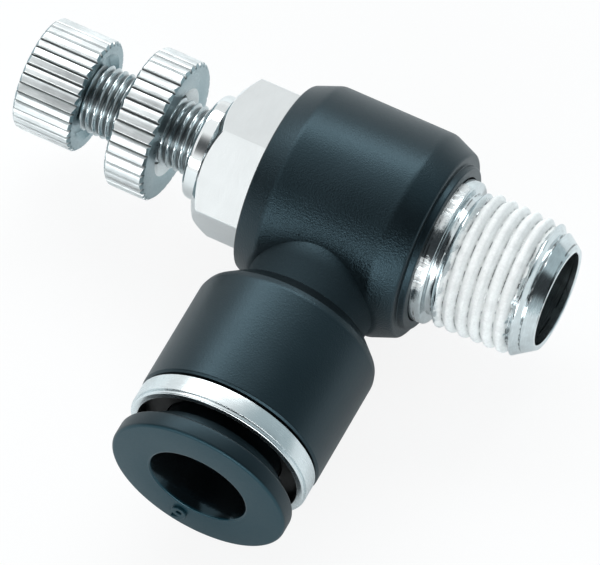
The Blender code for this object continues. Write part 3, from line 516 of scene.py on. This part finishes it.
def makeNeedle(k):
    length = k["to"] - k["from"]
    rows = int(length / k["pitch"] * k["perTurn"])
    shankLine = [(k["shankEnd"], 0), (k["shankEnd"], k["shank"] - k["shankBreak"]),
                 (k["shankEnd"] + k["shankBreak"], k["shank"]), (k["from"], k["shank"])]
    landLine = [(k["landFrom"], k["land"] - k["landBreak"]), (k["landFrom"] + k["landBreak"], k["land"]),
                (k["sealFrom"], k["land"]), (k["sealFrom"], k["sealRoot"]), (k["sealTo"], k["sealRoot"]),
                (k["sealTo"], k["land"]), (k["landTo"] - k["landBreak"], k["land"]),
                (k["landTo"], k["land"] - k["landBreak"])]
    tipLine = [(k["landTo"], k["stalk"]), (k["taperFrom"], k["stalk"]), (k["tipEnd"], k["tip"]),
               (k["tipEnd"], 0)]

    def outline(angle):
        line = list(shankLine)
        for i in range(rows + 1):
            t = k["from"] + length * i / rows
            wave = abs(((t / k["pitch"] - angle / math.tau) % 1) - 0.5) * 2  # 1 on a crest
            groove = k["depth"] * (1 - unit((wave - k["rootFlat"]) / k["flank"]))
            ends = unit(min((t - k["from"]) / k["runOut"], (k["to"] - t) / k["runOut"]))
            line.append((t, k["thread"] - groove - k["runOutDrop"] * (1 - ends)))
        return line + [(k["to"], k["neck"]), (k["landFrom"], k["neck"])] + landLine + tipLine
    obj = spun("needleScrew", outline, evenly(k["around"]), valveAxis)
    finish = brightNickel("needleNickel", k, grooveBand(k["thread"], k["from"], k["to"], k))
    return settle(obj, "needle", "needle", finish, k["sharp"])


makeNeedle(needleLook)


# hexagon with its boss

hexLook = {"flats": 10.0, "turn": 15, "seat": -6.15, "end": -10.1, "faceRadius": 4.8, "chamfer": 0.75,
           "cornerCut": 0.03,
           "steps": (0, 6, 12, 18, 23, 26.5, 28.6, 29.45, 30),  # degrees off a flat's middle
           "bossEnd": -11.45, "boss": 3.7, "bossFace": 3.3, "bore": 2.5, "boreMouth": 2.75,
           "mouthDepth": 0.2, "boreEnd": -8.8, "chamber": 2.85, "spigot": 3.3, "spigotEnd": -2.7,
           "bossRound": ((0.02, 0.22), (0.1, 0.09), (0.22, 0.02), (0.34, 0), (0.4, 0)),  # in, and below it
           "bossFoot": ((0.06, 0), (0.02, 0.02), (0, 0.08)),  # before the face, and above the boss
           "nick": 0.02, "lip": 0.04, "dip": 0.03, "guard": 0.2, "seatGuard": 0.15, "sharp": 20,
           "tint": (0.86, 0.885, 0.89), "wear": 0.04, "rough": 0.09,
           "lineSize": 0.12, "lineDepth": 0.0002, "stretch": (1, 0.12, 0.12)}


def makeHexagon(k):
    inner, corner = k["flats"] / 2, k["flats"] / 2 / math.cos(math.pi / 6)
    slope = k["chamfer"] / (corner - k["faceRadius"])
    marks = [-s for s in reversed(k["steps"][1:-1])] + list(k["steps"])
    angles = [math.radians(k["turn"] + 60 * i + m) for i in range(6) for m in marks]
    bossLine = [(k["boreEnd"], k["bore"]), (k["bossEnd"] + k["mouthDepth"], k["bore"]),
                (k["bossEnd"], k["boreMouth"]), (k["bossEnd"], k["bossFace"])]
    bossLine += [(k["bossEnd"] + inwards, k["boss"] - below) for inwards, below in k["bossRound"]]
    bossLine += [(k["end"] - before, k["boss"] + above) for before, above in k["bossFoot"]]
    bossLine += [(k["end"], k["faceRadius"] - k["lip"]), (k["end"] + k["nick"], k["faceRadius"])]
    spigotLine = [(k["seat"], k["spigot"]), (k["spigotEnd"], k["spigot"]), (k["spigotEnd"], k["chamber"]),
                  (k["boreEnd"], k["chamber"])]

    def outline(angle):
        off = abs((math.degrees(angle) - k["turn"] + 30) % 60 - 30)
        wide = min(inner / math.cos(math.radians(off)), corner - k["cornerCut"])
        top = k["end"] + slope * (wide - k["faceRadius"])  # where the chamfer meets the flat
        flatLine = [(top - k["nick"], wide - k["dip"]), (top + k["lip"], wide), (top + k["guard"], wide),
                    (k["seat"] - k["seatGuard"], wide), (k["seat"] - k["dip"], wide),
                    (k["seat"], wide - k["lip"])]
        return bossLine + flatLine + spigotLine
    obj = spun("hexBushing", outline, angles, valveAxis)
    return settle(obj, "stem", "hex_bushing", brightNickel("hexNickel", k), k["sharp"])


makeHexagon(hexLook)


# stem with its taper thread and the white paste on it

stemLook = {"pitch": 0.907, "depth": 0.56, "start": 7.35, "end": 14.5, "crest": 4.85, "taper": 1 / 32,
            "rootFlat": 0.08, "flank": 0.8, "runIn": 0.3, "around": 96, "perTurn": 14,
            "chamferFrom": 13.25, "chamferTop": 4.5, "rim": 3.64, "bore": 3.3, "boreBreak": 0.06,
            "pasteFrom": 7.9, "pasteTo": 12.75, "pasteFill": 0.22, "pasteEdge": 0.25, "pasteRound": 1.4,
            "lumpSpot": 4, "lump": 0.35, "lumpScale": 1.4, "ripples": ((0.02, 5), (0.012, 13)),
            "top": -6.05, "socket": 3.4, "land": 4.56, "landBreak": 0.1,
            "bands": (  # radius, and where it ends
                (4.56, -5.375), (3.8, -4.175), (4.56, -3.6), (3.96, 0.47), (4.56, 0.82), (3.61, 2.48),
                (3.96, 4.1), (4.96, 4.25), (4.2, 5.45), (4.96, 5.6)),
            "collar": 5.05, "collarEnd": 6.9, "relief": 4.3, "reliefEnd": 7.25,
            "collarRound": ((0.12, 0), (0.07, 0.015), (0.02, 0.06), (0, 0.12)),  # before the end, and below
            "reliefRound": ((0, 0.12), (0.03, 0.03), (0.1, 0)),  # beyond the collar, and above the relief
            "orifice": 1.5, "orificeFrom": 1.0, "orificeTo": 1.9, "chamber": 2.85, "chamberFrom": -2.6,
            "funnelFrom": 0.25, "funnelTo": 2.65,
            "holes": ((-1.3, 0.9), (3.25, 0.65)), "holeFar": 4.9, "holeSides": 24, "sharp": 40,
            "tint": (0.72, 0.78, 0.80), "paste": (0.94, 0.965, 0.965), "rough": 0.16,
            "smearHighlightAngles": ((55, 108), (127, 160))}  # degrees round the collar, where it catches the lamps: paste smears that also paint its highlights


def makeStem(k):
    length = k["end"] - k["start"]
    rows = int(length / k["pitch"] * k["perTurn"])
    shaftLine = [(k["top"], k["socket"]), (k["top"], k["land"] - k["landBreak"]),
                 (k["top"] + k["landBreak"], k["land"])]
    after = [radius for radius, end in k["bands"][1:]] + [k["collar"]]
    for (radius, end), following in zip(k["bands"], after):
        shaftLine += [(end, radius), (end, following)]
    shaftLine += [(k["collarEnd"] - before, k["collar"] - below) for before, below in k["collarRound"]]
    shaftLine += [(k["collarEnd"] + beyond, k["relief"] + above) for beyond, above in k["reliefRound"]]
    shaftLine.append((k["reliefEnd"], k["relief"]))
    boreLine = [(k["end"], k["bore"] + k["boreBreak"]), (k["end"] - k["boreBreak"], k["bore"]),
                (k["funnelTo"], k["bore"]), (k["orificeTo"], k["orifice"]),
                (k["orificeFrom"], k["orifice"]), (k["funnelFrom"], k["chamber"]),
                (k["chamberFrom"], k["chamber"]), (k["chamberFrom"], k["socket"])]

    def threadRadius(t, angle):
        crest = k["crest"] - k["taper"] * (t - k["start"])
        phase = abs(((t - k["start"]) / k["pitch"] - angle / math.tau) % 1 - 0.5) * 2  # 1 on a crest
        sharp = k["depth"] * (1 - unit((phase - k["rootFlat"]) / k["flank"]))
        spot = Vector((t, k["lumpSpot"] * math.cos(angle), k["lumpSpot"] * math.sin(angle)))
        lump = noise.noise(spot * k["lumpScale"]) * k["lump"]
        paste = unit((t + lump - k["pasteFrom"]) / k["pasteEdge"])
        paste *= unit((k["pasteTo"] - t - lump) / k["pasteEdge"])
        soft = (k["depth"] - k["pasteFill"]) * (0.5 + 0.5 * math.cos(math.pi * phase)) ** k["pasteRound"]
        soft += sum(height * noise.noise(spot * scale) for height, scale in k["ripples"])
        radius = crest - sharp * (1 - paste) - soft * paste
        ease = min(1, (t - k["start"]) / k["runIn"])
        radius = radius * ease + min(radius, k["relief"]) * (1 - ease)
        if t > k["chamferFrom"]:
            share = (t - k["chamferFrom"]) / (k["end"] - k["chamferFrom"])
            radius = min(radius, k["chamferTop"] + (k["rim"] - k["chamferTop"]) * share)
        return max(radius, k["rim"])

    def outline(angle):
        stations = [k["start"] + length * i / rows for i in range(rows + 1)]
        return shaftLine + [(t, threadRadius(t, angle)) for t in stations] + boreLine
    obj = spun("stemThread", outline, evenly(k["around"]), valveAxis)
    upright = Matrix.Rotation(math.radians(-90), 4, "X")
    for station, radius in k["holes"]:  # four cross holes at each station
        bm = bmesh.new()
        for i in range(4):
            spin = Matrix.Rotation(math.radians(45 + 90 * i), 4, "X") @ upright
            middle = Matrix.Translation((0, 0, k["holeFar"] / 2 + radius))
            bmesh.ops.create_cone(bm, cap_ends=True, segments=k["holeSides"], radius1=radius,
                                  radius2=radius, depth=k["holeFar"] - 2 * radius,
                                  matrix=Matrix.Translation((station, 0, 0)) @ spin @ middle)
        carve(obj, newObject("crossHoles", bm))
    return settle(obj, "stem", "threaded_stem", sealedThread("threadNickelAndPaste", k), k["sharp"])


makeStem(stemLook)
print("metal done")


# elbow

elbowLook = {"top": -6.05, "foot": 5.65, "barrel": 7.28, "barrelFace": 6.56, "slope": 1.8,
             "slopeRound": 1.1, "faceRound": 0.28, "lipFoot": 5.85, "lip": 5.8, "lipEnd": 6.1,
             "lipFootRound": 0.08, "lipRound": 0.12, "lipBore": 5.15, "lipFloor": 5.5, "bore": 5.06,
             "upperBore": 4.66, "boreStep": -3.5,
             "neckFrom": 5.33, "neck": 4.4, "neckRound": 0.1, "shoulder": 9.28, "shoulderRadius": 5.32,
             "shoulderRise": 1.0, "shoulderRounds": (0.12, 0.3), "sleeveFrom": 10.73, "sleeve": 6.47,
             "sleeveRound": 0.8, "sleeveEnd": 18.76, "endBreak": 0.15, "endRounds": (0.1, 0.06),
             "socket": 5.22, "socketFloor": 11.98, "tubeBore": 3.12, "tubeStop": 10.58,
             "passage": 2.2, "passageEnd": 11.5, "around": 144, "sleeveFewer": 4, "passageSides": 46,
             "sharp": 32, "dark": (0.0014, 0.002, 0.0023), "light": (0.003, 0.0042, 0.005),
             "sheen": (0.48, 0.82, 1.0), "gloss": 0.58, "rough": 0.37, "grainSize": 0.08,
             "grainDepth": 0.03}


def makeElbow(k):
    barrel = turned("elbowShell", [
        (k["top"], k["upperBore"]), (k["top"], k["barrelFace"], k["faceRound"]),
        (k["top"] + k["slope"], k["barrel"], k["slopeRound"]),
        (k["foot"] - k["slope"], k["barrel"], k["slopeRound"]),
        (k["foot"], k["barrelFace"], k["faceRound"]), (k["foot"], k["lipFoot"], k["lipFootRound"]),
        (k["lipEnd"], k["lip"], k["lipRound"]), (k["lipEnd"], k["lipBore"]), (k["lipFloor"], k["lipBore"]),
        (k["lipFloor"], k["bore"]), (k["boreStep"], k["bore"]), (k["boreStep"], k["upperBore"])],
        k["around"], valveAxis)
    sleeve = turned("sleeveTool", [
        (k["neckFrom"], 0), (k["neckFrom"], k["neck"]), (k["shoulder"], k["neck"], k["neckRound"]),
        (k["shoulder"], k["shoulderRadius"], k["shoulderRounds"][0]),
        (k["shoulder"] + k["shoulderRise"], k["shoulderRadius"] + k["shoulderRise"],
         k["shoulderRounds"][1]),
        (k["sleeveFrom"], k["sleeve"], k["sleeveRound"]),
        (k["sleeveEnd"] - k["endBreak"], k["sleeve"], k["endRounds"][0]),
        (k["sleeveEnd"], k["sleeve"] - k["endBreak"], k["endRounds"][1]),
        (k["sleeveEnd"], k["socket"]), (k["socketFloor"], k["socket"]), (k["socketFloor"], k["tubeBore"]),
        (k["tubeStop"], k["tubeBore"]), (k["tubeStop"], 0)],
        k["around"] - k["sleeveFewer"], portAxis)  # no facet lies on one of the barrel's
    passage = turned("passageTool", [
        (0, 0), (0, k["passage"]), (k["passageEnd"], k["passage"]), (k["passageEnd"], 0)],
        k["passageSides"], portAxis)
    carve(barrel, sleeve, "UNION")
    carve(barrel, passage)
    return settle(barrel, "elbow", "elbow_body", blackMoulding("elbowBlack", k), k["sharp"])


makeElbow(elbowLook)


# bright ring at the mouth of the sleeve

ringLook = {"tail": 15.48, "tailBore": 4.67, "tailRadius": 5.12, "bandFrom": 18.98, "band": 6.42,
            "bandTo": 20.2, "bandRounds": (0.06, 0.03), "step": 6.28, "end": 20.48,
            "endRounds": (0.1, 0.08), "mouth": 5.78, "mouthFloor": 19.48, "bore": 4.22, "boreFrom": 17.28,
            "around": 120, "sharp": 30, "core": {"radius": 5.84, "colour": (0.003, 0.004, 0.0045)},
            "tint": (0.74, 0.80, 0.82), "wear": 0.12, "rough": 0.26, "lineSize": 0.06, "lineDepth": 0.0012,
            "stretch": (0.08, 1, 0.08)}


def makeGuideRing(k):
    obj = turned("mouthRing", [
        (k["tail"], k["tailBore"]), (k["tail"], k["tailRadius"]), (k["bandFrom"], k["tailRadius"]),
        (k["bandFrom"], k["band"], k["bandRounds"][0]), (k["bandTo"], k["band"], k["bandRounds"][1]),
        (k["bandTo"], k["step"]), (k["end"], k["step"], k["endRounds"][0]),
        (k["end"], k["mouth"], k["endRounds"][1]), (k["mouthFloor"], k["mouth"]),
        (k["mouthFloor"], k["bore"]), (k["boreFrom"], k["bore"]), (k["boreFrom"], k["tailBore"])],
        k["around"], portAxis)
    return settle(obj, "elbow", "guide_ring", brightNickel("ringNickel", k, core=k["core"]), k["sharp"])


makeGuideRing(ringLook)


# release ring with the tube size on its face

releaseLook = {"tail": 16.58, "bore": 3.12, "tube": 4.12, "hookEnd": 17.18, "hook": 4.57, "neckFrom": 20.88,
               "neck": 5.0, "flangeFrom": 21.88, "flange": 6.3, "flangeRounds": (0.22, 0.24), "face": 23.16,
               "mouth": 3.5, "mouthRound": 0.14, "leadIn": ((22.4, 3.22), (21.6, 3.12)),
               "around": 120, "sharp": 32,
               "mark": "6", "markSize": 2.3, "markRadius": 4.75, "markTurn": 197, "markHeight": 0.16,
               "markBevel": 0.05, "markSharp": 40,
               "dark": (0.002, 0.003, 0.0036), "light": (0.004, 0.0056, 0.0064),
               "faceColour": (0.003, 0.02, 0.028), "sheen": (0.48, 0.82, 1.0), "gloss": 0.5, "rough": 0.42,
               "grainSize": 0.1, "grainDepth": 0.012}


def makeReleaseRing(k):
    obj = turned("releaseRing", [
        (k["tail"], k["bore"]), (k["tail"], k["tube"]), (k["hookEnd"], k["hook"]),
        (k["hookEnd"], k["tube"]), (k["neckFrom"], k["tube"]), (k["neckFrom"], k["neck"]),
        (k["flangeFrom"], k["neck"]), (k["flangeFrom"], k["flange"], k["flangeRounds"][0]),
        (k["face"], k["flange"], k["flangeRounds"][1]), (k["face"], k["mouth"], k["mouthRound"]),
        *k["leadIn"]],
        k["around"], portAxis)
    finish = blackMoulding("releaseBlack", k)
    settle(obj, "release", "release_ring", finish, k["sharp"])
    mark = makeMark(k)
    settle(mark, "release", None, finish, k["markSharp"])


def makeMark(k):
    curve = bpy.data.curves.new("tubeSizeMark", "FONT")
    curve.body = k["mark"]
    curve.size = k["markSize"]
    curve.align_x = "CENTER"
    curve.align_y = "CENTER"
    curve.extrude = k["markHeight"]
    curve.bevel_depth = k["markBevel"]
    curve.bevel_resolution = 2
    text = bpy.data.objects.new("tubeSizeMarkText", curve)
    scene.collection.objects.link(text)
    bpy.context.view_layer.update()
    mesh = bpy.data.meshes.new_from_object(text.evaluated_get(bpy.context.evaluated_depsgraph_get()))
    bpy.data.objects.remove(text)
    mark = bpy.data.objects.new("tubeSizeMark", mesh)
    scene.collection.objects.link(mark)
    faceOn = Matrix.Rotation(math.radians(90), 4, "X")  # the face looks along -Y
    turnOn = Matrix.Rotation(math.radians(k["markTurn"]), 4, "Y")
    offAxis = Matrix.Translation((0, 0, k["markRadius"]))
    mesh.transform(Matrix.Translation((0, -k["face"], 0)) @ turnOn @ offAxis @ faceOn)
    return mark


makeReleaseRing(releaseLook)


# inner pieces keep their solids

rubberLook = {"size": 0.5, "span": (0.35, 0.75), "dark": (0.012, 0.013, 0.013),
              "light": (0.035, 0.037, 0.038), "rough": 0.6, "swing": 0.25, "depth": 0.01}
spacerLook = {"size": 0.8, "span": (0.3, 0.7), "dark": (0.62, 0.62, 0.58), "light": (0.74, 0.74, 0.7),
              "rough": 0.45, "swing": 0.15, "depth": 0.008}
gripLook = {"tint": (0.62, 0.62, 0.61), "wear": 0.16, "rough": 0.28, "lineSize": 0.08, "lineDepth": 0.002,
            "stretch": (1, 0.1, 1)}


def dress(node, finish):
    nodes[node].data.materials.clear()
    nodes[node].data.materials.append(finish)
    print("finish", node)


for seal in ("check_lip_seal", "upper_stem_o_ring", "lower_stem_o_ring", "needle_o_ring", "tube_seal"):
    dress(seal, mottled(seal + "Rubber", rubberLook))
dress("spacer_ring", mottled("spacerPale", spacerLook))
dress("grip_ring", brightNickel("gripSteel", gripLook))


# studio: a light tent over a pale floor, with lamp panels

studio = {"floorSize": 3.0, "floorColour": (0.89, 0.94, 0.955), "floorSeen": 0.88, "floorMirrored": 0.2,
          "tent": (0.96, 0.985, 0.99), "tentRight": (0.46, 0.55, 0.58), "rightSpan": (-0.1, 0.5),
          "dark": (0.04, 0.046, 0.05),
          "openings": [  # the camera's side, beyond the thread, low on the left, and a thin back wall
              {"towards": (0.34, -0.50, 0.80), "span": (0.72, 0.84), "depth": 1.0},
              {"towards": (0.84, -0.08, 0.54), "span": (0.92, 0.97), "depth": 1.0},
              {"towards": (-0.85, -0.50, 0.15), "span": (0.80, 0.93), "depth": 1.0},
              {"towards": (-0.23, 0.84, 0.48), "span": (0.93, 0.985), "depth": 0.16}],
          "panelAway": 0.5,
          "panels": [  # a shine of 1 is a white panel
              {"name": "backPanel", "towards": (-0.32, 0.62, 0.73), "size": (0.66, 0.17), "shine": 4.4},
              {"name": "frontPanel", "towards": (-0.22, -0.94, 0.27), "size": (0.6, 0.14), "shine": 3.4},
              {"name": "lowPanel", "towards": (0.40, -0.87, 0.28), "size": (0.42, 0.24), "shine": 3.4}]}
cameraLook = {"azimuth": 27.17, "elevation": 59.61, "away": 0.4487, "aside": 0.003952, "above": 0.004598,
              "lens": 408.0, "sensor": 36.0, "clip": 0.01}


def makeFloor(k):
    bm = bmesh.new()
    bmesh.ops.create_grid(bm, x_segments=2, y_segments=2, size=k["floorSize"])
    floor = newObject("studioFloor", bm)
    floor.location = (0, 0, cadBox[0].z)
    finish = bpy.data.materials.new("floorWhite")
    finish.use_nodes = True
    finish.node_tree.nodes.clear()
    pen = Wire(finish.node_tree)
    matt = pen.add("ShaderNodeBsdfDiffuse", inputs={"Color": (*k["floorColour"], 1)})
    glow = pen.add("ShaderNodeEmission", inputs={"Color": (1, 1, 1, 1), "Strength": 1.0})
    camera, glossy, through = (pen.add("ShaderNodeLightPath", out="Is %s Ray" % kind)
                               for kind in ("Camera", "Glossy", "Transmission"))
    seen = camera * k["floorSeen"] + (glossy + through) * k["floorMirrored"]  # the rest is lit and shadowed
    both = pen.add("ShaderNodeMixShader", inputs={0: seen, 1: matt, 2: glow})
    pen.add("ShaderNodeOutputMaterial", inputs={"Surface": both})
    floor.data.materials.append(finish)


def makeWorld(k):
    world = bpy.data.worlds.new("studioWorld")
    world.use_nodes = True
    scene.world = world
    world.node_tree.nodes.clear()
    pen = Wire(world.node_tree)
    way = pen.add("ShaderNodeTexCoord", out="Generated")
    way = pen.add("ShaderNodeVectorMath", {"operation": "NORMALIZE"}, {0: way})
    side = pen.add("ShaderNodeSeparateXYZ", inputs={0: way})
    light = side.span(*k["rightSpan"]).blend(k["tent"], k["tentRight"])
    for gap in k["openings"]:
        near = pen.add("ShaderNodeVectorMath", {"operation": "DOT_PRODUCT"},
                       {0: way, 1: Vector(gap["towards"]).normalized()}, out="Value")
        light = (near.span(*gap["span"]) * gap["depth"]).blend(light, k["dark"])
    sky = pen.add("ShaderNodeBackground", inputs={"Color": light, "Strength": 1.0})
    pen.add("ShaderNodeOutputWorld", inputs={"Surface": sky})


def makePanels(k):
    middle = (cadBox[0] + cadBox[1]) / 2
    for p in k["panels"]:
        light = bpy.data.lights.new(p["name"], "AREA")
        light.shape = "RECTANGLE"
        light.size, light.size_y = p["size"]
        light.energy = p["shine"] * math.pi * light.size * light.size_y
        lamp = bpy.data.objects.new(p["name"], light)
        scene.collection.objects.link(lamp)
        away = Vector(p["towards"]).normalized()
        lamp.location = middle + away * k["panelAway"]
        lamp.rotation_euler = away.to_track_quat("Z", "Y").to_euler()


def makeCamera(k):
    turn, rise = math.radians(k["azimuth"]), math.radians(k["elevation"])
    back = Vector((math.sin(turn) * math.cos(rise), -math.cos(turn) * math.cos(rise), math.sin(rise)))
    right = Vector((math.cos(turn), math.sin(turn), 0))
    up = back.cross(right)
    data = bpy.data.cameras.new("photoCamera")
    data.sensor_fit = "HORIZONTAL"
    data.sensor_width = k["sensor"]
    data.lens = k["lens"]
    data.clip_start = k["clip"]
    camera = bpy.data.objects.new("photoCamera", data)
    scene.collection.objects.link(camera)
    camera.matrix_world = Matrix((right, up, back)).transposed().to_4x4()
    camera.location = crossing + back * k["away"] - right * k["aside"] - up * k["above"]
    scene.camera = camera


makeFloor(studio)
makeWorld(studio)
makePanels(studio)
makeCamera(cameraLook)
scene.view_settings.view_transform = "Standard"
print("studio done")
